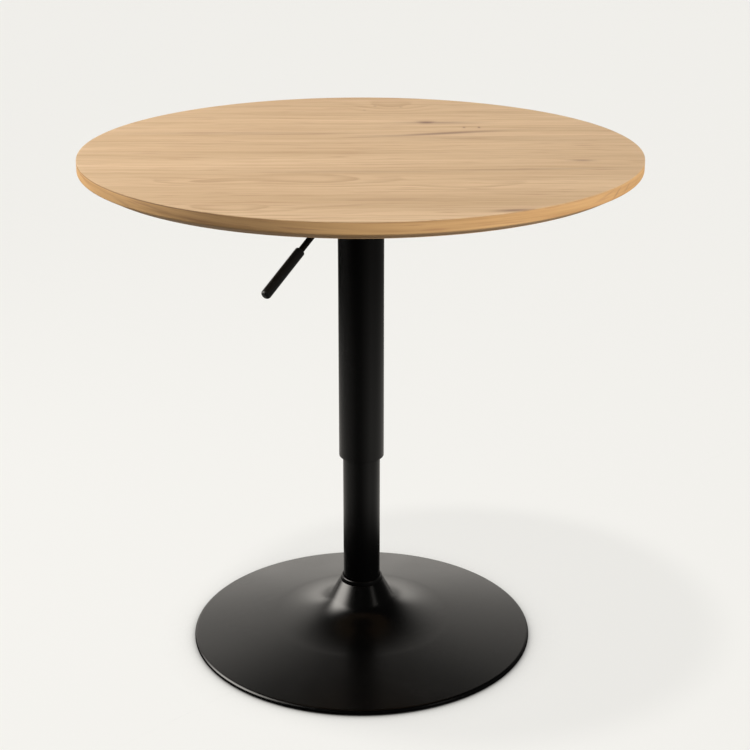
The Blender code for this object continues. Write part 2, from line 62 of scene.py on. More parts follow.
CAMERA_PLACE = (0.0, -2.0786, 1.1265)
CAMERA_PITCH = radians(19.945)
CAMERA_YAW = radians(0.492)
CAMERA_ROLL = radians(-0.042)
SENSOR = 36.0
LENS = 81.37


def make_camera():
    data = bpy.data.cameras.new("camera")
    data.sensor_fit = "HORIZONTAL"
    data.sensor_width = SENSOR
    data.lens = LENS
    data.clip_end = 200.0
    camera = bpy.data.objects.new("camera", data)
    bpy.context.scene.collection.objects.link(camera)
    turn = (
        Matrix.Rotation(-CAMERA_YAW, 4, "Z")
        @ Matrix.Rotation(pi / 2 - CAMERA_PITCH, 4, "X")
        @ Matrix.Rotation(-CAMERA_ROLL, 4, "Z")
    )
    camera.matrix_world = Matrix.Translation(CAMERA_PLACE) @ turn
    bpy.context.scene.camera = camera


# ---------------------------------------------------------------- node helpers


class Nodes:
    """Short calls for the nodes that the materials share."""

    def __init__(self, tree):
        self.tree = tree
        self.nodes = tree.nodes
        self.links = tree.links

    def new(self, kind, **settings):
        node = self.nodes.new(kind)
        for name, value in settings.items():
            setattr(node, name, value)
        return node

    def feed(self, socket, value):
        if isinstance(value, bpy.types.NodeSocket):
            self.links.new(value, socket)
        elif value is not None:
            socket.default_value = value

    def maths(self, operation, *values, clamp=False):
        node = self.new("ShaderNodeMath", operation=operation, use_clamp=clamp)
        for socket, value in zip(node.inputs, values):
            self.feed(socket, value)
        return node.outputs[0]

    def product(self, *values):
        total = values[0]
        for value in values[1:]:
            total = self.maths("MULTIPLY", total, value)
        return total

    def dot(self, vector, axis):
        node = self.new("ShaderNodeVectorMath", operation="DOT_PRODUCT")
        self.feed(node.inputs[0], vector)
        node.inputs[1].default_value = axis
        return node.outputs["Value"]

    def object_point(self):
        return self.new("ShaderNodeTexCoord").outputs["Object"]

    def parts(self, vector):
        node = self.new("ShaderNodeSeparateXYZ")
        self.feed(node.inputs[0], vector)
        return node.outputs

    def vector(self, x, y, z):
        node = self.new("ShaderNodeCombineXYZ")
        for socket, value in zip(node.inputs, (x, y, z)):
            self.feed(socket, value)
        return node.outputs[0]

    def stretched(self, vector, scale, shift=(0, 0, 0)):
        node = self.new("ShaderNodeMapping")
        self.feed(node.inputs["Vector"], vector)
        node.inputs["Scale"].default_value = scale
        node.inputs["Location"].default_value = shift
        return node.outputs[0]

    def noise(self, vector, scale=1.0, detail=3.0, roughness=0.5, distortion=0.0):
        node = self.new("ShaderNodeTexNoise")
        self.feed(node.inputs["Vector"], vector)
        node.inputs["Scale"].default_value = scale
        node.inputs["Detail"].default_value = detail
        node.inputs["Roughness"].default_value = roughness
        node.inputs["Distortion"].default_value = distortion
        return node.outputs["Fac"]

    def ramp(self, value, *stops, interpolation="LINEAR"):
        node = self.new("ShaderNodeValToRGB")
        self.feed(node.inputs[0], value)
        ramp = node.color_ramp
        ramp.interpolation = interpolation
        while len(ramp.elements) < len(stops):
            ramp.elements.new(0.5)
        for element, (position, colour) in zip(ramp.elements, stops):
            element.position = position
            element.color = colour if len(colour) == 4 else (*colour, 1.0)
        return node.outputs["Color"]

    def fit(self, value, low, high, to_low=0.0, to_high=1.0, smooth=False):
        node = self.new("ShaderNodeMapRange")
        node.interpolation_type = "SMOOTHSTEP" if smooth else "LINEAR"
        self.feed(node.inputs["Value"], value)
        ends = {"From Min": low, "From Max": high, "To Min": to_low, "To Max": to_high}
        for name, number in ends.items():
            node.inputs[name].default_value = number
        return node.outputs["Result"]

    def at_angle(self, across, forward, table):
        """The share that the table gives to a turn from forward towards across, in degrees."""
        turn = self.fit(self.maths("ARCTAN2", across, forward), -pi, pi)
        stops = [(0.5 + angle / 360, (share,) * 3) for angle, share in table]
        return self.parts(self.ramp(turn, *stops))[0]

    def mix(self, share, first, second):
        node = self.new("ShaderNodeMix", data_type="RGBA")
        self.feed(node.inputs[0], share)
        self.feed(node.inputs[6], first)
        self.feed(node.inputs[7], second)
        return node.outputs[2]

    def by_ray(self, kind, others, chosen):
        """One shader for rays of this kind, and another for the others."""
        node = self.new("ShaderNodeMixShader")
        self.feed(node.inputs[0], self.new("ShaderNodeLightPath").outputs[kind])
        self.links.new(others, node.inputs[1])
        self.links.new(chosen, node.inputs[2])
        return node.outputs[0]

    def glow(self, colour, strength):
        node = self.new("ShaderNodeEmission")
        node.inputs["Color"].default_value = colour
        self.feed(node.inputs["Strength"], strength)
        return node.outputs[0]

    def bump(self, height, strength, distance):
        node = self.new("ShaderNodeBump")
        self.feed(node.inputs["Height"], height)
        node.inputs["Strength"].default_value = strength
        node.inputs["Distance"].default_value = distance
        return node.outputs["Normal"]


def new_material(name):
    material = bpy.data.materials.new(name)
    material.use_nodes = True
    shader = material.node_tree.nodes["Principled BSDF"]
    return material, shader, Nodes(material.node_tree)


# ---------------------------------------------------------------- floor and light

PALE = (0.880, 0.871, 0.838)
FLOOR_SIZE = 60.0
FLOOR_GLOW = 0.85
FLOOR_MATT = 0.155
STUDIO_TINT = (1.0, 0.955, 0.890, 1.0)  # the warm tone of what the black coat mirrors
BOUNCE_TINT = (0.93, 0.84, 0.76, 1.0)  # what the floor throws back on to matt surfaces
BOUNCE_GLOW = 0.19
CONTACT_SHADOW_REACH = 0.050  # the floor's glow is darkened, a painted contact shadow, where a piece is nearer than this
CONTACT_SHADOW_POWER = 1.7  # how dark that painted contact shadow gets

# How bright the floor looks in the black coat: degrees to the right of the front, brightness
FLOOR_SIDES = [(-150, 0.42), (-130, 0.42), (-91, 0.30), (-63, 0.20), (-39, 0.11), (-22, 0.06), (0, 0.07),
               (27, 0.18), (51, 0.32), (76, 0.28), (108, 0.31), (135, 0.40)]
# How that changes: from and to which distance from the column's axis in metres, and the share at each
FLOOR_RISE = (0.24, 0.40, 0.0, 1.0)
FLOOR_FALL = (0.40, 1.60, 1.25, 0.25)
LEFT_FALL = (0.90, 1.65, 1.0, 0.10)
BEHIND_RISE = (0.30, 1.50, 0.22, 0.95)
LEFT_EDGE = (-0.6, 0.2)  # sines of the turn to the right, between which the left ends
BEHIND_EDGE = (0.90, 0.98)  # cosines of the turn from straight behind, where the bright floor starts


def floor_in_coat(n):
    """How bright each place of the floor looks in the black coat. It is darker in front, where the studio
    is dark, and bright behind."""
    x, y, _ = n.parts(n.object_point())
    away = n.maths("SQRT", n.maths("ADD", n.product(x, x), n.product(y, y)))
    side = n.at_angle(x, n.maths("MULTIPLY", y, -1.0), FLOOR_SIDES)
    not_left = n.fit(n.maths("DIVIDE", x, away), *LEFT_EDGE, smooth=True)
    left_fade = n.maths("MAXIMUM", not_left, n.fit(away, *LEFT_FALL))
    rise = n.fit(away, *FLOOR_RISE, smooth=True)
    near = n.product(side, left_fade, rise, n.fit(away, *FLOOR_FALL))
    behind = n.fit(n.maths("DIVIDE", y, away), *BEHIND_EDGE, smooth=True)
    return n.maths("MAXIMUM", near, n.product(behind, n.fit(away, *BEHIND_RISE)))


def make_floor():
    """A pale studio floor. Most of its brightness is its own, as on an over-lit sweep, so that shadows stay
    faint. A painted contact shadow darkens its glow a little where a piece stands on it."""
    mesh = bpy.data.meshes.new("floor")
    shape = bmesh.new()
    bmesh.ops.create_grid(shape, x_segments=1, y_segments=1, size=FLOOR_SIZE)
    shape.to_mesh(mesh)
    shape.free()
    floor = bpy.data.objects.new("floor", mesh)
    bpy.context.scene.collection.objects.link(floor)
    material, shader, n = new_material("floor")
    shader.inputs["Base Color"].default_value = (*[c * FLOOR_MATT for c in PALE], 1.0)
    shader.inputs["Roughness"].default_value = 1.0
    shader.inputs["Specular IOR Level"].default_value = 0.0
    shader.inputs["Emission Color"].default_value = (*PALE, 1.0)
    # Painted contact shadow: ambient occlusion darkens the floor's glow near a piece
    contact_shadow = n.new("ShaderNodeAmbientOcclusion", samples=8)
    contact_shadow.inputs["Distance"].default_value = CONTACT_SHADOW_REACH
    shade = n.maths("POWER", contact_shadow.outputs["AO"], CONTACT_SHADOW_POWER)
    n.feed(shader.inputs["Emission Strength"], n.maths("MULTIPLY", shade, FLOOR_GLOW))
    bounced = n.glow(BOUNCE_TINT, BOUNCE_GLOW)
    unseen = n.by_ray("Is Glossy Ray", bounced, n.glow(STUDIO_TINT, floor_in_coat(n)))
    seen = n.by_ray("Is Camera Ray", unseen, shader.outputs[0])
    n.links.new(seen, n.nodes["Material Output"].inputs["Surface"])
    mesh.materials.append(material)


# Softboxes that the black coat mirrors: direction, half width and half height as sines, strength
SOFTBOXES = [
    ((-0.930, 0.03, 0.370), 0.39, 0.36, 8.3),
    ((0.739, -0.608, 0.36), 0.10, 0.07, 1.7),
]
SOFTBOX_FADE = (0.35, 1.65)  # shares of the half size, between which a softbox fades out
SOFTBOX_DEPTH = 2.5  # rays deeper than this don't see the softboxes, so only the first mirror shows them
AMBIENT = 0.10  # light on matt surfaces from all round
WORLD_DARK = 0.012
BACKDROP = 1.45
# How bright the backdrop is at each height: degrees above the horizon, share
BACKDROP_RISE = [(0, 0.80), (8, 1.04), (13, 0.85), (17, 0.58), (25, 0.58), (31, 0.58), (37, 0.42),
                 (42, 0.18), (47, 0.01)]
# How bright it is to each side: degrees to the right of straight behind, share
BACKDROP_SIDES = [(-110, 0.03), (-75, 0.06), (-55, 0.22), (-38, 0.72), (-24, 1.10), (-12, 1.10), (-2, 0.96),
                  (12, 0.90), (24, 0.50), (36, 0.16), (55, 0.01)]


def softbox(n, direction, place, half_width, half_height, strength):
    """The glow of a rectangular soft light, with blurred edges, in the world."""
    centre = Vector(place).normalized()
    across = centre.cross(Vector((0.0, 0.0, 1.0))).normalized()
    upward = across.cross(centre)
    masks = []
    for axis, half in ((across, half_width), (upward, half_height)):
        offset = n.maths("ABSOLUTE", n.dot(direction, axis))
        inner, outer = [half * share for share in SOFTBOX_FADE]
        masks.append(n.fit(offset, inner, outer, 1.0, 0.0, smooth=True))
    front = n.maths("GREATER_THAN", n.dot(direction, centre), 0.0)
    return n.product(*masks, front, strength)


def make_world():
    """Light from a bright low backdrop behind, softboxes at the sides, and a dark front and ceiling.
    The camera itself sees the pale backdrop."""
    world = bpy.data.worlds.new("studio")
    bpy.context.scene.world = world
    world.use_nodes = True
    n = Nodes(world.node_tree)
    direction = n.new("ShaderNodeTexCoord").outputs["Generated"]
    x, y, z = n.parts(direction)
    heights = [(sin(radians(angle)), (share,) * 3) for angle, share in BACKDROP_RISE]
    low = n.maths("MULTIPLY", n.parts(n.ramp(z, *heights))[0], BACKDROP)
    total = n.maths("MULTIPLY_ADD", low, n.at_angle(x, y, BACKDROP_SIDES), WORLD_DARK)
    path = n.new("ShaderNodeLightPath")
    shallow = n.maths("LESS_THAN", path.outputs["Ray Depth"], SOFTBOX_DEPTH)
    for light in SOFTBOXES:
        total = n.maths("MULTIPLY_ADD", softbox(n, direction, *light), shallow, total)
    strength = n.new("ShaderNodeMix", data_type="FLOAT")
    n.feed(strength.inputs[0], path.outputs["Is Glossy Ray"])
    n.feed(strength.inputs[2], AMBIENT)
    n.feed(strength.inputs[3], total)
    background = n.nodes["Background"]
    n.feed(background.inputs["Strength"], strength.outputs[0])
    background.inputs["Color"].default_value = STUDIO_TINT
    plain = n.new("ShaderNodeBackground")
    plain.inputs["Color"].default_value = (*PALE, 1.0)
    seen = n.by_ray("Is Camera Ray", background.outputs[0], plain.outputs[0])
    n.links.new(seen, n.nodes["World Output"].inputs["Surface"])


# Lamps that light the wood: name, where the light comes from, strength, softness in degrees, and whether it
# throws a shadow
LAMPS = [
    ("overhead", (-0.22, -0.08, 1.0), 1.6, 6.0, True),
    ("front_right", (0.883, -0.469, 0.155), 4.75, 30.0, False),
    ("low_left", (-0.927, 0.375, 0.06), 2.6, 26.0, False),
]
LEFT_LAMP_FROM = (-1.0, 0.18, 0.0)
LEFT_LAMP_PLACE = (-1.70, 0.30, 1.50)
LEFT_LAMP_SIDE = 0.7
LEFT_LAMP_POWER = 24.0
LAMP_COLOUR = (1.0, 0.985, 0.96)


def make_lamps():
    """The overhead lamp throws the faint shadow of the top on the floor. A square lamp on the left lights
    that side of the wood more than the other. The black coat doesn't mirror the lamps."""
    for name, place, strength, softness, shadow in LAMPS:
        data = bpy.data.lights.new(name, "SUN")
        data.energy = strength
        data.angle = radians(softness)
        add_lamp(data, place, (0.0, 0.0, 0.0), shadow)
    data = bpy.data.lights.new("left", "AREA")
    data.energy = LEFT_LAMP_POWER
    data.size = LEFT_LAMP_SIDE
    add_lamp(data, LEFT_LAMP_FROM, LEFT_LAMP_PLACE, False)


def add_lamp(data, comes_from, place, shadow):
    data.color = LAMP_COLOUR
    data.use_shadow = shadow
    lamp = bpy.data.objects.new(data.name, data)
    lamp.location = place
    lamp.rotation_euler = Vector(comes_from).to_track_quat("Z", "Y").to_euler()
    lamp.visible_glossy = False
    bpy.context.scene.collection.objects.link(lamp)


# ---------------------------------------------------------------- oak

OAK_LIGHT = (0.640, 0.449, 0.270)
OAK_MIDDLE = (0.528, 0.355, 0.199)
OAK_DARK = (0.375, 0.222, 0.110)
OAK_FLECK = (0.330, 0.165, 0.085)
OAK_STREAK = (0.190, 0.098, 0.062)
EDGE_LIGHT = (0.630, 0.394, 0.185)
EDGE_MIDDLE = (0.485, 0.290, 0.130)
EDGE_DARK = (0.300, 0.154, 0.064)

# Scales of the oak's noises: cycles per metre along the grain, across it, and in height, which is always 0
WAVE = (2.0, 8.0, 1.0)
SMALL_WAVE = (9.0, 60.0, 1.0)
PRESENCE = (3.0, 22.0, 1.0)
BROAD = (1.2, 14.0, 1.0)
STREAKS = (4.2, 150.0, 1.0)
PORES = (42.0, 1500.0, 1.0)
FLECKS = (20.0, 330.0, 1.0)
WAVE_LIFT = 2.6  # growth lines that the wave shifts
SMALL_WAVE_LIFT = 0.45
GRAIN_LEAN = 0.03  # metres that the wave shifts the streaks across
FIGURE_SHOWN = 2.2  # how much a figure brings out the growth lines
LINE_FADE = (0.0, 0.55, 1.0, 0.0)  # a growth line starts dark and fades
LINE_START = (0.90, 1.0, 0.0, 1.0)
LINES_SHOWN = (0.40, 0.68)  # values of the presence noise, between which growth lines appear
LINE_SHARE = 0.34
# What a noise does to the tone: from and to which value, and the share of the new tone at each
BROAD_MIDDLE = (0.33, 0.67, 0.0, 1.0)
STREAK_DARK = (0.50, 0.76, 0.0, 0.66)
STREAK_LIGHT = (0.46, 0.25, 0.0, 0.35)
PORE_DARK = (0.60, 0.80, 0.0, 0.28)
FLECK_DARK = (0.60, 0.74, 0.0, 0.42)
# What stands out of the oak's surface, as a share of its depth
LINE_HEIGHT = -0.3
STREAK_HEIGHT = 0.5
PORE_HEIGHT = -0.8
PORE_EDGE = (0.60, 0.80)
OAK_DEPTH = 0.0002
FACE_RELIEF = 0.25
EDGE_RELIEF = 0.3
OAK_SPECULAR = 0.35
FACE_ROUGHNESS = (0.2, 0.8, 0.48, 0.62)  # from and to which value of the streaks, and the roughness at each
EDGE_ROUGHNESS = (0.2, 0.8, 0.50, 0.62)
FACE_SEED = 3.7
BACK_SEED = 11.3
EDGE_SEED = 8.1
FACE_LINES = 34.0  # growth lines in a metre
EDGE_LINES = 120.0
EDGE_LEAN = 0.03  # slope of the grain round the edge

# Arched figures of the veneer, in metres: middle, half length, half width, growth lines that they lift
FIGURES = [
    ((-0.187, -0.168), 0.060, 0.022, 1.6),
    ((-0.050, -0.160), 0.100, 0.032, 2.6),
    ((-0.143, -0.292), 0.060, 0.022, 1.8),
    ((0.120, -0.185), 0.070, 0.030, 1.6),
    ((0.040, 0.280), 0.055, 0.040, 2.0),
]
# Dark marks of the veneer, in metres: middle, half length, half width, slope, strength
MARKS = [
    ((0.088, 0.1705), 0.016, 0.0088, 0.0, 1.00),
    ((0.102, 0.1690), 0.050, 0.0085, 0.0, 0.55),
    ((0.108, 0.1000), 0.070, 0.0070, 0.236, 0.85),
    ((0.060, 0.0890), 0.060, 0.0052, 0.120, 0.42),
    ((-0.150, 0.1020), 0.150, 0.0110, 0.0, 0.22),
    ((0.160, 0.0700), 0.140, 0.0160, 0.0, 0.12),
    ((0.269, -0.0590), 0.014, 0.0050, -0.05, 0.60),
    ((0.165, -0.3010), 0.020, 0.0052, 0.16, 0.80),
    ((-0.010, -0.1180), 0.120, 0.0060, 0.0, 0.24),
    ((0.210, -0.1050), 0.110, 0.0055, 0.06, 0.26),
    ((0.030, -0.2550), 0.060, 0.0045, 0.0, 0.20),
    ((0.1364, 0.1375), 0.0016, 0.0040, 0.0, 0.85),
    ((0.1562, 0.1375), 0.0016, 0.0045, 0.0, 0.92),
    ((0.0200, 0.2850), 0.0022, 0.0048, 0.0, 0.36),
    ((0.0560, 0.2780), 0.0024, 0.0040, 0.0, 0.38),
    ((0.0050, 0.2550), 0.0020, 0.0050, 0.0, 0.26),
]
# How dark the painted shadow line along the seam under the veneer is: from and to how many metres round the
# edge from the front to the right, and the share at each
SEAM_SHADE_ALONG = (-0.25, -0.09, 0.80, 0.08)
SEAM_SHADE_LOW = 0.0010  # depths under the veneer, between which the painted shadow line starts
SEAM_SHADE_HIGH = 0.0002
# Dark marks of the edge: metres round it from the front to the right and up from its middle, then as above
EDGE_MARKS = [
    ((0.345, 0.003), 0.010, 0.0012, 0.50, 0.60),
    ((0.322, 0.006), 0.017, 0.0010, 0.16, 0.32),
    ((0.376, 0.004), 0.009, 0.0014, 0.38, 0.40),
    ((0.410, 0.001), 0.006, 0.0010, 0.55, 0.28),
    ((-0.300, 0.001), 0.020, 0.0018, -0.15, 0.30),
    ((-0.250, 0.006), 0.030, 0.0015, -0.12, 0.30),
    ((-0.180, 0.000), 0.035, 0.0015, -0.05, 0.25),
]


def oval(n, x, y, place, half_length, half_width, slope=0.0):
    """1 in the middle of a soft oval, and 0 well outside it."""
    lean = (slope * place[0] - place[1]) / half_width
    along = n.maths("MULTIPLY_ADD", x, 1 / half_length, -place[0] / half_length)
    across = n.maths("MULTIPLY_ADD", x, -slope / half_width, lean)
    across = n.maths("MULTIPLY_ADD", y, 1 / half_width, across)
    outness = n.maths("MULTIPLY_ADD", along, along, n.maths("MULTIPLY", across, across))
    return n.maths("EXPONENT", n.maths("MULTIPLY", outness, -1.0))


def oak_grain(n, x, y, seed, figures, lines_per_metre):
    """Values from 0 to 1 of a grain that runs along x: broad tone, growth lines, streaks, pores, flecks."""
    flat = n.vector(x, y, 0.0)
    wave = n.noise(n.stretched(flat, WAVE, (seed, seed, 0)), 1.0, 2.0)
    small_wave = n.noise(n.stretched(flat, SMALL_WAVE, (0, seed, 0)), 1.0, 2.0)
    growth = n.maths("MULTIPLY_ADD", wave, WAVE_LIFT, n.maths("MULTIPLY", y, lines_per_metre))
    growth = n.maths("MULTIPLY_ADD", small_wave, SMALL_WAVE_LIFT, growth)
    figured = 0.0
    for place, half_length, half_width, lift in figures:
        figure = oval(n, x, y, place, half_length, half_width)
        growth = n.maths("MULTIPLY_ADD", figure, lift, growth)
        figured = n.maths("MAXIMUM", figured, figure)
    ring = n.maths("FRACT", growth)
    line = n.maths("MAXIMUM", n.fit(ring, *LINE_FADE), n.fit(ring, *LINE_START))
    presence = n.noise(n.stretched(flat, PRESENCE, (seed, 0, 0)), 1.0, 2.0)
    shown = n.maths("MAXIMUM", n.fit(presence, *LINES_SHOWN), n.maths("MULTIPLY", figured, FIGURE_SHOWN))
    line = n.maths("MULTIPLY", line, shown)
    broad = n.noise(n.stretched(flat, BROAD, (seed, 0, 0)), 1.0, 2.0, 0.5)
    leaning = n.vector(x, n.maths("MULTIPLY_ADD", wave, GRAIN_LEAN, y), 0.0)
    streaks = n.noise(n.stretched(leaning, STREAKS, (seed, seed, 0)), 1.0, 4.0, 0.62)
    pores = n.noise(n.stretched(leaning, PORES, (0, 0, seed)), 1.0, 2.0, 0.5)
    flecks = n.noise(n.stretched(leaning, FLECKS, (seed, 0, seed)), 1.0, 1.0, 0.4)
    return broad, line, streaks, pores, flecks


def oak_colour(n, values, marks, light, middle, dark):
    broad, line, streaks, pores, flecks = values
    tone = n.mix(n.fit(broad, *BROAD_MIDDLE), (*light, 1), (*middle, 1))
    tone = n.mix(n.maths("MULTIPLY", line, LINE_SHARE), tone, (*dark, 1))
    tone = n.mix(n.fit(streaks, *STREAK_DARK), tone, (*dark, 1))
    tone = n.mix(n.fit(streaks, *STREAK_LIGHT), tone, (*light, 1))
    tone = n.mix(n.fit(pores, *PORE_DARK), tone, (*dark, 1))
    tone = n.mix(n.fit(flecks, *FLECK_DARK), tone, (*OAK_FLECK, 1))
    return n.mix(marks, tone, (*OAK_STREAK, 1)) if marks else tone


def oak_marks(n, x, y, marks):
    total = None
    for place, half_length, half_width, slope, strength in marks:
        mark = n.maths("MULTIPLY", oval(n, x, y, place, half_length, half_width, slope), strength)
        total = n.maths("MAXIMUM", total, mark) if total else mark
    return total


def oak_relief(n, values):
    _, line, streaks, pores, _ = values
    height = n.maths("MULTIPLY_ADD", line, LINE_HEIGHT, n.maths("MULTIPLY", streaks, STREAK_HEIGHT))
    return n.maths("MULTIPLY_ADD", n.fit(pores, *PORE_EDGE), PORE_HEIGHT, height)


def make_oak_face(name, seed, figures, marks):
    """Lacquered oak veneer with the grain along X."""
    material, shader, n = new_material(name)
    x, y, _ = n.parts(n.object_point())
    values = oak_grain(n, x, y, seed, figures, FACE_LINES)
    marked = oak_marks(n, x, y, marks)
    n.feed(shader.inputs["Base Color"], oak_colour(n, values, marked, OAK_LIGHT, OAK_MIDDLE, OAK_DARK))
    n.feed(shader.inputs["Roughness"], n.fit(values[2], *FACE_ROUGHNESS))
    n.feed(shader.inputs["Normal"], n.bump(oak_relief(n, values), FACE_RELIEF, OAK_DEPTH))
    shader.inputs["Specular IOR Level"].default_value = OAK_SPECULAR
    return material


def make_oak_edge():
    """Oak lipping with the grain round the edge, and a painted shadow line where it meets the veneer,
    strong round the left side and faint at the front and right.
    """
    material, shader, n = new_material("oak_edge")
    x, y, z = n.parts(n.object_point())
    low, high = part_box("edge_band")
    radius = (high.x - low.x) / 2
    along = n.maths("MULTIPLY", n.maths("ARCTAN2", x, n.maths("MULTIPLY", y, -1.0)), radius)
    up = n.maths("SUBTRACT", z, (low.z + high.z) / 2)
    across = n.maths("MULTIPLY_ADD", along, EDGE_LEAN, up)
    values = oak_grain(n, along, across, EDGE_SEED, [], EDGE_LINES)
    tone = oak_colour(n, values, oak_marks(n, along, up, EDGE_MARKS), EDGE_LIGHT, EDGE_MIDDLE, EDGE_DARK)
    # Painted shade: a dark line along the seam under the veneer, strong round the left side, faint at the
    # front and right
    shown = n.fit(along, *SEAM_SHADE_ALONG, smooth=True)
    seam_shade = n.maths("MULTIPLY", n.fit(z, high.z - SEAM_SHADE_LOW, high.z - SEAM_SHADE_HIGH), shown)
    n.feed(shader.inputs["Base Color"], n.mix(seam_shade, tone, (*OAK_STREAK, 1)))
    n.feed(shader.inputs["Roughness"], n.fit(values[2], *EDGE_ROUGHNESS))
    n.feed(shader.inputs["Normal"], n.bump(oak_relief(n, values), EDGE_RELIEF, OAK_DEPTH))
    shader.inputs["Specular IOR Level"].default_value = OAK_SPECULAR
    return material


# ---------------------------------------------------------------- other materials


def make_speckled(name, colour, roughness, grain_size, relief, metallic=0.0, specular=0.5, variation=0.25):
    """A moulded, coated or cast surface: a fine grain, with slow changes of tone and gloss."""
    material, shader, n = new_material(name)
    point = n.object_point()
    fine = n.noise(point, 1.0 / grain_size, 2.0, 0.6)
    slow = n.noise(point, 14.0, 3.0, 0.5)
    darker = tuple(c * (1 - variation) for c in colour)
    lighter = tuple(min(1.0, c * (1 + variation)) for c in colour)
    n.feed(shader.inputs["Base Color"], n.ramp(fine, (0.30, darker), (0.70, lighter)))
    spread = n.maths("ADD", n.maths("MULTIPLY", fine, 0.5), n.maths("MULTIPLY", slow, 0.5))
    n.feed(shader.inputs["Roughness"], n.fit(spread, 0.3, 0.7, roughness - 0.05, roughness + 0.05))
    n.feed(shader.inputs["Normal"], n.bump(fine, relief, grain_size * 0.2))
    shader.inputs["Metallic"].default_value = metallic
    shader.inputs["Specular IOR Level"].default_value = specular
    return material


def make_turned_metal(name, colour, roughness, pitch):
    """Metal turned on a lathe: fine rings at even steps of height, with slow changes of gloss."""
    material, shader, n = new_material(name)
    point = n.object_point()
    rings = n.noise(n.vector(0.0, 0.0, n.parts(point)[2]), 1.0 / pitch, 2.0, 0.6)
    slow = n.noise(point, 60.0, 3.0, 0.5)
    darker = tuple(c * 0.78 for c in colour)
    n.feed(shader.inputs["Base Color"], n.ramp(slow, (0.30, darker), (0.70, colour)))
    n.feed(shader.inputs["Roughness"], n.fit(rings, 0.3, 0.7, roughness - 0.06, roughness + 0.08))
    n.feed(shader.inputs["Normal"], n.bump(rings, 0.2, pitch * 0.3))
    shader.inputs["Metallic"].default_value = 1.0
    return material


def make_board():
    """Particle board: pressed chips of different tones."""
    material, shader, n = new_material("board")
    point = n.object_point()
    chips = n.new("ShaderNodeTexVoronoi")
    chips.inputs["Scale"].default_value = 420.0
    n.feed(chips.inputs["Vector"], n.stretched(point, (1.0, 1.0, 2.5)))
    tone = n.parts(chips.outputs["Color"])[0]
    n.feed(shader.inputs["Base Color"], n.ramp(tone, (0.1, (0.36, 0.25, 0.14)), (0.9, (0.62, 0.48, 0.31))))
    shader.inputs["Roughness"].default_value = 0.85
    n.feed(shader.inputs["Normal"], n.bump(chips.outputs["Distance"], 0.4, 0.0005))
    return material


MATERIALS = {
    "oak": make_oak_face("oak", FACE_SEED, FIGURES, MARKS),
    "oak_back": make_oak_face("oak_back", BACK_SEED, [], []),
    "oak_edge": make_oak_edge(),
    "board": make_board(),
    "black_coat": make_speckled("black_coat", (0.0008,) * 3, 0.24, 0.0005, 0.04),
    "black_plastic": make_speckled("black_plastic", (0.0040,) * 3, 0.38, 0.0004, 0.08, specular=0.45),
    "gloss_black": make_speckled("gloss_black", (0.0012,) * 3, 0.16, 0.0006, 0.03),
    "matt_black": make_speckled("matt_black", (0.0050,) * 3, 0.58, 0.0006, 0.08, specular=0.22),
    "black_rubber": make_speckled("black_rubber", (0.012,) * 3, 0.75, 0.0006, 0.25),
    "white_plastic": make_speckled("white_plastic", (0.78, 0.77, 0.72), 0.45, 0.0005, 0.08, variation=0.05),
    "brass": make_turned_metal("brass", (0.72, 0.53, 0.24), 0.32, 0.0003),
    "zinc": make_turned_metal("zinc", (0.60, 0.62, 0.64), 0.36, 0.0003),
    "steel": make_turned_metal("steel", (0.62, 0.62, 0.61), 0.26, 0.0002),
    "iron": make_speckled("iron", (0.030, 0.029, 0.028), 0.65, 0.0012, 0.35, metallic=0.3),
}


# ---------------------------------------------------------------- shapes


def add_piece(name, mesh, material, body, slot, *nodes):
    """Makes a piece, joins it to its body, and hides the CAD nodes that it stands for."""
    mesh.name = name
    mesh.materials.append(MATERIALS[material])
    mesh.shade_smooth()
    mesh.set_sharp_from_angle(angle=SHARP_ANGLE)
    piece = bpy.data.objects.new(name, mesh)
    PIECES.objects.link(piece)
    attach(piece, body)
    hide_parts(*nodes)


def evaluated_mesh(obj):
    bpy.context.view_layer.update()
    graph = bpy.context.evaluated_depsgraph_get()
    mesh = bpy.data.meshes.new_from_object(obj.evaluated_get(graph))
    mesh.transform(obj.matrix_world)
    bpy.data.objects.remove(obj, do_unlink=True)
    return mesh


def turned(profile, steps):
    """A mesh turned round Z from (radius, height) points that run down its outer side."""
    edges = [(index, index + 1) for index in range(len(profile) - 1)]
    if profile[0][0] > 0:
        edges.append((len(profile) - 1, 0))
    outline = bpy.data.meshes.new("profile")
    outline.from_pydata([(radius, 0.0, height) for radius, height in profile], edges, [])
    obj = bpy.data.objects.new("profile", outline)
    PIECES.objects.link(obj)
    screw = obj.modifiers.new("Screw", "SCREW")
    screw.steps = steps
    screw.render_steps = steps
    screw.use_merge_vertices = True
    screw.merge_threshold = MERGE
    return evaluated_mesh(obj)


def arc(centre, radius, start, end, count):
    """Points of a circular arc. Angles are in degrees from +X."""
    points = []
    for index in range(count + 1):
        angle = radians(start + (end - start) * index / count)
        points.append((centre[0] + radius * cos(angle), centre[1] + radius * sin(angle)))
    return points


def rounded_ring(inner, outer, bottom, top, ease, count=4):
    """The profile of a ring with all four corners rounded."""
    return (
        arc((outer - ease, top - ease), ease, 90, 0, count)
        + arc((outer - ease, bottom + ease), ease, 0, -90, count)
        + arc((inner + ease, bottom + ease), ease, -90, -180, count)
        + arc((inner + ease, top - ease), ease, 180, 90, count)
    )


def curve_between(first, middle, last, count):
    points = []
    for index in range(1, count):
        share = index / count
        near, both, far = (1 - share) ** 2, 2 * share * (1 - share), share**2
        points.append(tuple(near * a + both * b + far * c for a, b, c in zip(first, middle, last)))
    return points


def box_mesh(low, high):
    low, high = Vector(low), Vector(high)
    mesh = bpy.data.meshes.new("box")
    shape = bmesh.new()
    bmesh.ops.create_cube(shape, size=1.0)
    bmesh.ops.scale(shape, vec=high - low, verts=shape.verts)
    bmesh.ops.translate(shape, vec=(low + high) / 2, verts=shape.verts)
    shape.to_mesh(mesh)
    shape.free()
    return mesh


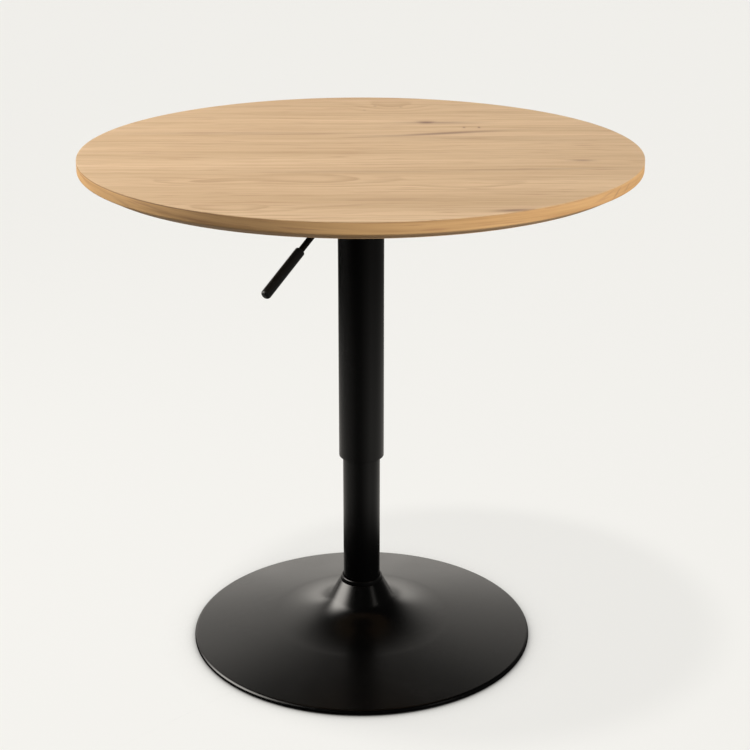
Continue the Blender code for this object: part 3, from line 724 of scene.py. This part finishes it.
def bars_mesh(places, radius, bottom, top, steps):
    mesh = bpy.data.meshes.new("bars")
    shape = bmesh.new()
    for x, y in places:
        bmesh.ops.create_cone(
            shape,
            cap_ends=True,
            segments=steps,
            radius1=radius,
            radius2=radius,
            depth=top - bottom,
            matrix=Matrix.Translation((x, y, (bottom + top) / 2)),
        )
    shape.to_mesh(mesh)
    shape.free()
    return mesh


def cut(mesh, cutter_mesh):
    """The mesh with the cutter's shape taken away."""
    obj = bpy.data.objects.new("cut", mesh)
    cutter = bpy.data.objects.new("cutter", cutter_mesh)
    PIECES.objects.link(obj)
    PIECES.objects.link(cutter)
    boolean = obj.modifiers.new("Boolean", "BOOLEAN")
    boolean.object = cutter
    boolean.operation = "DIFFERENCE"
    boolean.solver = "EXACT"
    result = evaluated_mesh(obj)
    bpy.data.objects.remove(cutter, do_unlink=True)
    return result


def span(node):
    """(radius, bottom, top) of a round CAD node on the column's axis."""
    low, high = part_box(node)
    return (high.x - low.x) / 2, low.z, high.z


def places_of(name, count):
    """(x, y) of each of the numbered CAD nodes with this name."""
    boxes = [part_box(f"{name}_{number}") for number in range(1, count + 1)]
    return [((low.x + high.x) / 2, (low.y + high.y) / 2) for low, high in boxes]


# ---------------------------------------------------------------- table top


UNDERSIDE_RADIUS = 0.334  # the edge is bevelled in to here underneath
EDGE_HEIGHT = 0.014  # height of the upright part of the edge
EDGE_TURN = 0.0016  # how far the turn into the bevel is rounded
VENEER_EASE = 0.0003
VENEER_FLAT = 0.004  # width of the outermost ring of faces, which keeps the shading inside it flat
LIPPING_INNER = 0.330
UNDERSIDE_EASE = 0.0002
SCREW_HOLE = 0.0048
THROUGH = 0.01  # how far a cutter stands out


def make_top():
    """The two veneers, and between them the lipping, whose underside is bevelled."""
    outer, veneer_bottom, table_top = span("top_veneer")
    face = [(0.0, table_top), (outer - VENEER_FLAT, table_top)]
    face += arc((outer - VENEER_EASE, table_top - VENEER_EASE), VENEER_EASE, 90, 0, 4)
    face += [(outer, veneer_bottom), (0.0, veneer_bottom)]
    add_piece("oak_face", turned(face, ROUND), "oak", "top", "oak", "top_veneer")

    _, underside, band_top = span("edge_band")
    radius, below, above = span("underside_veneer")
    corner = Vector((outer, table_top - EDGE_HEIGHT))
    fall = Vector((UNDERSIDE_RADIUS, below)) - corner
    turn_start = (corner.x, corner.y + EDGE_TURN)
    turn_end = tuple(corner + fall.normalized() * EDGE_TURN)
    bevel_end = tuple(corner + fall * ((underside - corner.y) / fall.y))
    band = [(outer, band_top), turn_start]
    band += curve_between(turn_start, tuple(corner), turn_end, 6)
    band += [turn_end, bevel_end, (LIPPING_INNER, underside), (LIPPING_INNER, band_top)]
    add_piece("oak_lipping", turned(band, ROUND), "oak_edge", "top", "oak", "edge_band")

    back = [(0.0, above), (radius, above), (radius, below + UNDERSIDE_EASE)]
    back += [(radius - UNDERSIDE_EASE, below), (0.0, below)]
    holes = bars_mesh(places_of("plate_screw", 4), SCREW_HOLE, below - THROUGH, above + THROUGH, HOLE)
    mesh = cut(turned(back, ROUND), holes)
    add_piece("oak_underside", mesh, "oak_back", "top", "oak", "underside_veneer")


# ---------------------------------------------------------------- base

RIM_TOP = 0.0078
RIM_ROUND = 0.004
RIM_START = 84  # degrees, where the disc meets the round rim
SHEET = 0.0015
NECK_TOP = 0.079
NECK_RADIUS = 0.0295
FLANK_END = (0.0415, 0.0560)  # radius and height where the straight flank below the neck starts to flare
FLARE_CORNER = (0.0540, 0.0321)  # where the lines of the flank and of the disc would meet
DISC_START = (0.125, 0.0240)
LIP_POINTS = 6
LIP_INSET = 0.0002
FLARE_STEPS = 28
FLOOR_RING_INNER = 0.2060
FLOOR_RING_EASE = 0.0006
BEAD_RADIUS = 0.00135


def base_outline(radius, bottom):
    """The base's sheet: its upper side, then its underside at an even distance below."""
    lip_centre = (NECK_RADIUS - SHEET / 2 - LIP_INSET, NECK_TOP - SHEET / 2)
    outside = arc(lip_centre, SHEET / 2, 120, 20, LIP_POINTS - 1) + [FLANK_END]
    outside += curve_between(FLANK_END, FLARE_CORNER, DISC_START, FLARE_STEPS)
    outside.append(DISC_START)
    outside += arc((radius - RIM_ROUND, RIM_TOP - RIM_ROUND), RIM_ROUND, RIM_START, 0, 10)
    outside.append((radius, bottom))
    inside = []
    for (r0, z0), (r1, z1) in zip(outside[LIP_POINTS - 1 :], outside[LIP_POINTS:]):
        along = Vector((r1 - r0, z1 - z0)).normalized()
        inside.append(((r0 + r1) / 2 + along.y * SHEET, (z0 + z1) / 2 - along.x * SHEET))
    inside[-1] = (radius - SHEET, bottom)
    return outside + inside[::-1]


def make_base():
    radius, bottom, _ = span("base_shell")
    shell = turned(base_outline(radius, bottom), ROUND)
    add_piece("base_trumpet", shell, "black_coat", "base", "black_coat", "base_shell")
    radius, bottom, top = span("floor_ring")
    ring = turned(rounded_ring(FLOOR_RING_INNER, radius, bottom, top, FLOOR_RING_EASE), ROUND)
    add_piece("floor_ring_round", ring, "black_rubber", "base", "black_rubber", "floor_ring")
    radius, bottom, top = span("neck_ring")
    bead = arc((radius - BEAD_RADIUS, top - BEAD_RADIUS), BEAD_RADIUS, 170, 0, 10)
    bead = turned(bead + [(radius, bottom), (radius - 2 * BEAD_RADIUS, bottom)], TUBE)
    add_piece("neck_bead", bead, "gloss_black", "base", "black_plastic", "neck_ring")


# ---------------------------------------------------------------- column and lever

TUBE_WALL = 0.0015
TUBE_EASE = 0.0004
COVER_EASE = 0.0009
GLIDE_RING_WALL = 0.0030
COVER_SLOT = ((0.001, -0.0052, -0.0055), (0.012, 0.0052, 0.0062))  # two corners, from the lever's pivot
SLOT_MARGIN = 0.001  # the cover has rings of points this far above and below its slot
LEVER_BEND = 0.037  # distance of the bend from the column's axis
LEVER_BEND_RADIUS = 0.012
LEVER_SLOPE = radians(30.05)
LEVER_RADIUS = 0.004
LEVER_INNER_END = 0.0005  # distance from the column's axis
BEND_STEPS = 12
ROD_SHORTFALL = 0.002  # how far the rod ends before the grip's bore does
PIN_HOLE = 0.0023
GRIP_START = 0.1242  # distance of the grip's mouth from the column's axis
GRIP_LENGTH = 0.0795
GRIP_RADIUS = 0.0064
GRIP_BORE_DEPTH = 0.062
GRIP_END_ROUND = 0.0046
GRIP_EASE = 0.0004
GRIP_CLEARANCE = 0.0003


def make_column():
    radius, bottom, top = span("column_tube")
    tube = turned(rounded_ring(radius - TUBE_WALL, radius, bottom, top, TUBE_EASE, 3), TUBE)
    add_piece("column", tube, "black_coat", "base", "black_coat", "column_tube")
    radius, bottom, top = span("cover_tube")
    inner = radius - TUBE_WALL
    slot_low, slot_high = COVER_SLOT
    place = lever_place()
    above = place.translation.z + slot_high[2] + SLOT_MARGIN
    below = place.translation.z + slot_low[2] - SLOT_MARGIN
    ring = [(radius, top), (radius, above), (radius, below)]
    ring += arc((radius - COVER_EASE, bottom + COVER_EASE), COVER_EASE, 0, -90, 5)
    ring += [(inner, bottom), (inner, below), (inner, above), (inner, top)]
    slot = box_mesh(slot_low, slot_high)
    slot.transform(place)
    add_piece("cover", cut(turned(ring, TUBE), slot), "black_coat", "top", "black_coat", "cover_tube")
    radius, bottom, top = span("cover_glide_ring")
    ring = turned(rounded_ring(radius - GLIDE_RING_WALL, radius, bottom, top, TUBE_EASE, 3), TUBE)
    add_piece("glide_ring", ring, "black_plastic", "top", "black_plastic", "cover_glide_ring")


def lever_place():
    """The lever's own frame: its origin on the pivot and +X outwards."""
    joints = frame["record"]["behaviour"]["joints"]
    pivot = Vector(next(joint["pos_m"] for joint in joints if joint["name"] == "lever_pivot"))
    return Matrix.Translation(pivot) @ Matrix.Rotation(atan2(pivot.y, pivot.x), 4, "Z")


def rod_mesh(route):
    """A round bar along these points, with closed ends."""
    curve = bpy.data.curves.new("lever_route", "CURVE")
    curve.dimensions = "3D"
    curve.bevel_depth = LEVER_RADIUS
    curve.bevel_resolution = 10
    curve.use_fill_caps = True
    spline = curve.splines.new("POLY")
    spline.points.add(len(route) - 1)
    for point, spot in zip(spline.points, route):
        point.co = (*spot, 1.0)
    rod = bpy.data.objects.new("lever_route", curve)
    PIECES.objects.link(rod)
    mesh = evaluated_mesh(rod)
    shape = bmesh.new()
    shape.from_mesh(mesh)
    bmesh.ops.remove_doubles(shape, verts=shape.verts, dist=MERGE)
    shape.to_mesh(mesh)
    shape.free()
    return mesh


def make_lever():
    """The bent rod, which carries on into the grip, and the grip."""
    place = lever_place()
    reach = place.translation.xy.length
    bend = LEVER_BEND - reach
    tangent = LEVER_BEND_RADIUS * tan(LEVER_SLOPE / 2)
    along = Vector((cos(LEVER_SLOPE), 0.0, -sin(LEVER_SLOPE)))
    grip_start = Vector((bend, 0.0, 0.0)) + along * (GRIP_START - LEVER_BEND) / cos(LEVER_SLOPE)
    route = [Vector((LEVER_INNER_END - reach, 0.0, 0.0))]
    for index in range(BEND_STEPS + 1):
        angle = LEVER_SLOPE * index / BEND_STEPS
        x = bend - tangent + LEVER_BEND_RADIUS * sin(angle)
        route.append(Vector((x, 0.0, -LEVER_BEND_RADIUS * (1 - cos(angle)))))
    route.append(grip_start + along * (GRIP_BORE_DEPTH - ROD_SHORTFALL))
    pin_hole = bars_mesh([(0.0, 0.0)], PIN_HOLE, -THROUGH, THROUGH, HOLE)
    pin_hole.transform(Matrix.Rotation(-pi / 2, 4, "X"))
    mesh = cut(rod_mesh(route), pin_hole)
    mesh.transform(place)
    add_piece("lever_bar", mesh, "black_coat", "lever", "black_coat", "lever_rod")

    bore = LEVER_RADIUS + GRIP_CLEARANCE
    profile = [(0.0, -GRIP_BORE_DEPTH), (bore, -GRIP_BORE_DEPTH)]
    profile += arc((bore + GRIP_EASE, -GRIP_EASE), GRIP_EASE, 180, 90, 3)
    profile += arc((GRIP_RADIUS - GRIP_EASE, -GRIP_EASE), GRIP_EASE, 90, 0, 3)
    end_centre = (GRIP_RADIUS - GRIP_END_ROUND, GRIP_END_ROUND - GRIP_LENGTH)
    profile += arc(end_centre, GRIP_END_ROUND, 0, -90, 12) + [(0.0, -GRIP_LENGTH)]
    mesh = turned(profile, SMALL)
    mesh.transform(Matrix.Translation(grip_start) @ Matrix.Rotation(LEVER_SLOPE - pi / 2, 4, "Y"))
    mesh.transform(place)
    add_piece("lever_handle", mesh, "black_plastic", "lever", "black_plastic", "lever_grip")


# ---------------------------------------------------------------- plate and foot

PLATE_CORNER = 0.022
PLATE_EASE = 0.0007
PLATE_HOLE = 0.0034
WELD_SIZE = 0.0032
WELD_INSET = 0.0002
WELD_STEPS = 360
WELD_RIPPLES = 60
RIPPLE_HEIGHT = 0.10  # shares of the weld's size
WELD_UNEVENNESS = 0.05
WELD_WAVES = 7
BALLAST_BORE = 0.018
BALLAST_FLAT = 0.112  # radius where its upper side starts to slope
BALLAST_EDGE_TOP = 0.0058
BALLAST_EASE = 0.0010
BOLT_HOLE = 0.0043
BOLT_HOLE_FACES = 32
BOLT_HEAD_HOLE = (0.0074, 0.0080)  # radius and height of the recess for a bolt's head
# Head radius, shank radius, head height, socket radius, socket depth
PLATE_SCREW_SIZES = (0.0060, 0.0028, 0.0036, 0.0023, 0.0022)
FOOT_BOLT_SIZES = (0.0065, 0.0038, 0.0045, 0.0030, 0.0030)
BOLT_EASE = 0.0006
SHOULDER_EASE = 0.0002


def slab_mesh(low, high, corner, ease):
    """A flat plate with round corners and rounded rims."""
    mesh = box_mesh(low, high)
    shape = bmesh.new()
    shape.from_mesh(mesh)
    half = (high.z - low.z) / 2
    upright = [edge for edge in shape.edges if abs(edge.verts[0].co.z - edge.verts[1].co.z) > half]
    bmesh.ops.bevel(shape, geom=upright, offset=corner, segments=14, profile=0.5, affect="EDGES")
    rims = [edge for edge in shape.edges if abs(edge.verts[0].co.z - edge.verts[1].co.z) < half]
    bmesh.ops.bevel(shape, geom=rims, offset=ease, segments=3, profile=0.5, affect="EDGES")
    shape.to_mesh(mesh)
    shape.free()
    return mesh


def hexagon_socket_bolt(name, node, body, sizes):
    """A bolt or screw with its head down, turned, with a hexagon socket in the head."""
    head_radius, shank_radius, head_height, socket_radius, socket_depth = sizes
    low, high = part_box(node)
    centre = (low + high) / 2
    shoulder = low.z + head_height
    profile = [(0.0, high.z), (shank_radius - BOLT_EASE, high.z), (shank_radius, high.z - BOLT_EASE)]
    profile.append((shank_radius, shoulder))
    profile += arc((head_radius - SHOULDER_EASE, shoulder - SHOULDER_EASE), SHOULDER_EASE, 90, 0, 2)
    profile += arc((head_radius - BOLT_EASE, low.z + BOLT_EASE), BOLT_EASE, 0, -90, 5)
    profile.append((0.0, low.z))
    socket = bars_mesh([(0.0, 0.0)], socket_radius, low.z - THROUGH, low.z + socket_depth, 6)
    mesh = cut(turned(profile, SMALL), socket)
    mesh.transform(Matrix.Translation((centre.x, centre.y, 0.0)))
    add_piece(name, mesh, "zinc", body, "zinc", node)


def make_plate():
    low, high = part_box("mounting_plate")
    holes = bars_mesh(places_of("plate_screw", 4), PLATE_HOLE, low.z - THROUGH, high.z + THROUGH, HOLE)
    mesh = cut(slab_mesh(low, high, PLATE_CORNER, PLATE_EASE), holes)
    add_piece("top_plate", mesh, "matt_black", "top", "black_coat", "mounting_plate")
    for number in range(1, 5):
        hexagon_socket_bolt(f"top_plate_bolt_{number}", f"plate_screw_{number}", "top", PLATE_SCREW_SIZES)


def make_cover_weld():
    """The rippled weld bead round the cover tube, under the plate."""
    radius = span("cover_tube")[0]
    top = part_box("mounting_plate")[0].z
    bead = bmesh.new()
    rings = []
    for step in range(WELD_STEPS):
        turn = 2 * pi * step / WELD_STEPS
        ripple = 1 + RIPPLE_HEIGHT * abs(sin(turn * WELD_RIPPLES / 2))
        ripple += WELD_UNEVENNESS * sin(turn * WELD_WAVES + 1.0)
        outline = [(radius - WELD_INSET, top)]
        outline += [(radius + r, top + z) for r, z in arc((0.0, 0.0), WELD_SIZE * ripple, 0, -90, 8)]
        rings.append([bead.verts.new((r * cos(turn), r * sin(turn), z)) for r, z in outline])
    for first, second in zip(rings, rings[1:] + rings[:1]):
        for k in range(len(first)):
            j = (k + 1) % len(first)
            bead.faces.new((first[k], first[j], second[j], second[k]))
    bmesh.ops.recalc_face_normals(bead, faces=bead.faces)
    mesh = bpy.data.meshes.new("cover_weld")
    bead.to_mesh(mesh)
    bead.free()
    add_piece("cover_weld", mesh, "matt_black", "top", "black_coat")


def make_foot():
    """The ballast plate and the bolts that hold the column's foot, seen from below."""
    radius, bottom, top = span("ballast_plate")
    ease = BALLAST_EASE
    profile = [(BALLAST_BORE, top), (BALLAST_FLAT, top)]
    profile += arc((radius - ease, BALLAST_EDGE_TOP - ease), ease, 80, 0, 4)
    profile += arc((radius - ease, bottom + ease), ease, 0, -90, 4)
    profile += arc((BALLAST_BORE + ease, bottom + ease), ease, -90, -180, 4)
    places = places_of("foot_bolt", 3)
    head_radius, head_top = BOLT_HEAD_HOLE
    holes = bars_mesh(places, BOLT_HOLE, bottom - THROUGH, top + THROUGH, BOLT_HOLE_FACES)
    heads = bars_mesh(places, head_radius, bottom - THROUGH, head_top, SMALL)
    mesh = cut(cut(turned(profile, ROUND), holes), heads)
    add_piece("ballast_disc", mesh, "iron", "base", "iron", "ballast_plate")
    for number in range(1, 4):
        hexagon_socket_bolt(f"base_bolt_{number}", f"foot_bolt_{number}", "base", FOOT_BOLT_SIZES)


def paint_nodes():
    """Gives each carried-over CAD node its material."""
    slots = {row["node"]: row["material_slot"] for row in frame["record"]["subparts"]}
    for name, node in frame["nodes"].items():
        node.data.materials.clear()
        node.data.materials.append(MATERIALS[slots[name]])


make_camera()
make_floor()
make_world()
make_lamps()
bpy.context.scene.view_settings.view_transform = "Standard"
paint_nodes()
make_top()
make_base()
make_column()
make_lever()
make_plate()
make_cover_weld()
make_foot()
